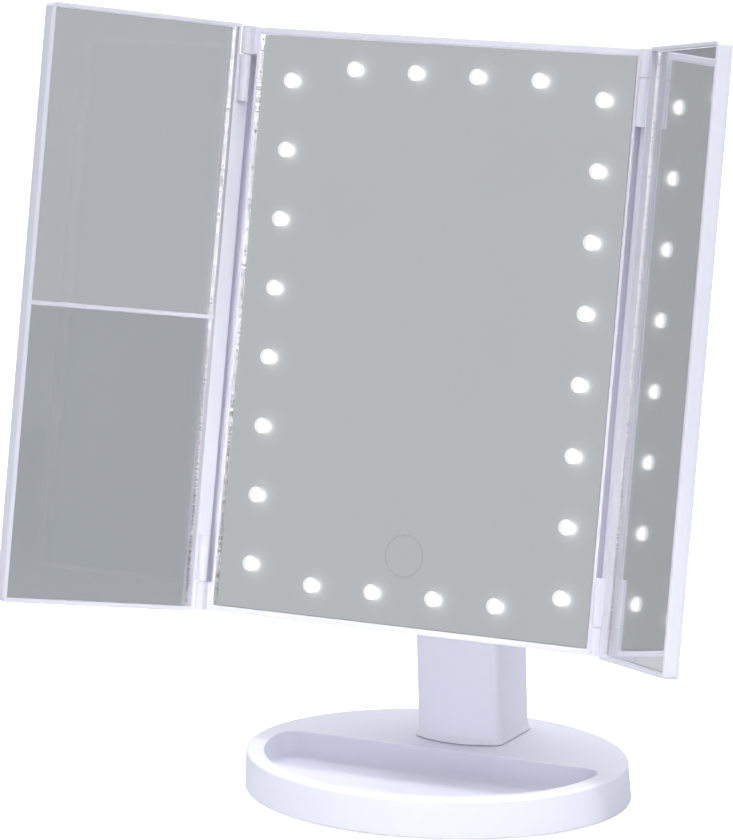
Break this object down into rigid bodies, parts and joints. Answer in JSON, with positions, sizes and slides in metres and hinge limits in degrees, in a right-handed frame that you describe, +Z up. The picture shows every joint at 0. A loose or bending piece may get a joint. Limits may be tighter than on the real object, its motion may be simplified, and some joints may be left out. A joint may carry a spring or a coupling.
{
  "type": "lighted vanity mirror",
  "caption": "Free-standing tri-fold make-up mirror with lamps around its centre glass, two folding wings, a tilting panel on a post and an oval base with a tray.",
  "frame": {"origin": "centre of the base's flat underside, which is the bottom cover's face; the foot pads stand 0.9 mm below it", "axes": "+Z up, the mirror faces -Y, +X to the viewer's right"},
  "size_m": [0.2752, 0.1588, 0.3025],
  "materials": {
    "white_plastic": "satin white moulded plastic with a faint lavender cast",
    "silvered_glass": "clear float glass silvered on the back, ground edges",
    "steel": "zinc plated",
    "foot_rubber": "matt foam rubber",
    "black_plastic": "matt moulded nylon and ABS",
    "copper": "bare copper foil",
    "lamp_board": "white solder mask with frosted lamps",
    "circuit_board": "green solder mask",
    "cell_jacket": "printed shrink sleeve, plain blue"
  },
  "bodies": {
    "base": {"base_shell": "white_plastic", "base_bottom_cover": "white_plastic", "ballast_plate": "steel", "base_screw_1": "steel", "base_screw_2": "steel", "base_screw_3": "steel", "base_screw_4": "steel", "foot_pad_1": "foot_rubber", "foot_pad_2": "foot_rubber", "foot_pad_3": "foot_rubber", "foot_pad_4": "foot_rubber", "post_front_shell": "white_plastic", "post_rear_shell": "white_plastic", "post_foot_screw_1": "steel", "post_foot_screw_2": "steel", "post_shell_screw_1": "steel", "post_shell_screw_2": "steel", "pivot_bolt": "steel", "pivot_nut": "steel", "friction_washer_left": "black_plastic", "friction_washer_right": "black_plastic"},
    "panel": {"front_bezel": "white_plastic", "rear_cover": "white_plastic", "centre_mirror": "silvered_glass", "touch_sensor_pad": "copper", "led_strip_left": "lamp_board", "led_strip_right": "lamp_board", "led_strip_top": "lamp_board", "led_strip_bottom": "lamp_board", "led_carrier": "white_plastic", "control_board": "circuit_board", "usb_socket": "steel", "power_switch_case": "black_plastic", "battery_holder": "black_plastic", "battery_cell_1": "cell_jacket", "battery_cell_2": "cell_jacket", "battery_cell_3": "cell_jacket", "battery_cell_4": "cell_jacket", "battery_contact_left": "steel", "battery_contact_right": "steel", "cover_screw_1": "steel", "cover_screw_2": "steel", "cover_screw_3": "steel", "cover_screw_4": "steel", "left_hinge_pin_lower": "steel", "left_hinge_pin_upper": "steel", "right_hinge_pin_lower": "steel", "right_hinge_pin_upper": "steel"},
    "left_wing": {"left_wing_frame": "white_plastic", "left_wing_back": "white_plastic", "magnifier_upper": "silvered_glass", "magnifier_lower": "silvered_glass"},
    "right_wing": {"right_wing_frame": "white_plastic", "right_wing_back": "white_plastic", "right_wing_mirror": "silvered_glass"},
    "power_switch": {"power_switch_slider": "black_plastic"},
    "door": {"battery_door": "white_plastic"}
  },
  "joints": [
    {"name": "panel_tilt", "type": "hinge", "parent": "base", "child": "panel", "pos_m": [0, 0.028, 0.15], "axis": [-1, 0, 0], "range_deg": [-17, 76.5]},
    {"name": "left_wing_hinge", "type": "hinge", "parent": "panel", "child": "left_wing", "pos_m": [-0.0839, -0.00463, 0.17744], "axis": [0, 0.2333, 0.9724], "range_deg": [-60.7, 119.3]},
    {"name": "right_wing_hinge", "type": "hinge", "parent": "panel", "child": "right_wing", "pos_m": [0.0839, -0.00463, 0.17744], "axis": [0, -0.2333, -0.9724], "range_deg": [-47.8, 132.2]},
    {"name": "power_switch_slide", "type": "slide", "parent": "panel", "child": "power_switch", "axis": [1, 0, 0], "range_m": [0, 0.003]},
    {"name": "battery_door_slide", "type": "slide", "parent": "panel", "child": "door", "axis": [0, 0.2333, 0.9724], "range_m": [0, 0.062]}
  ]
}
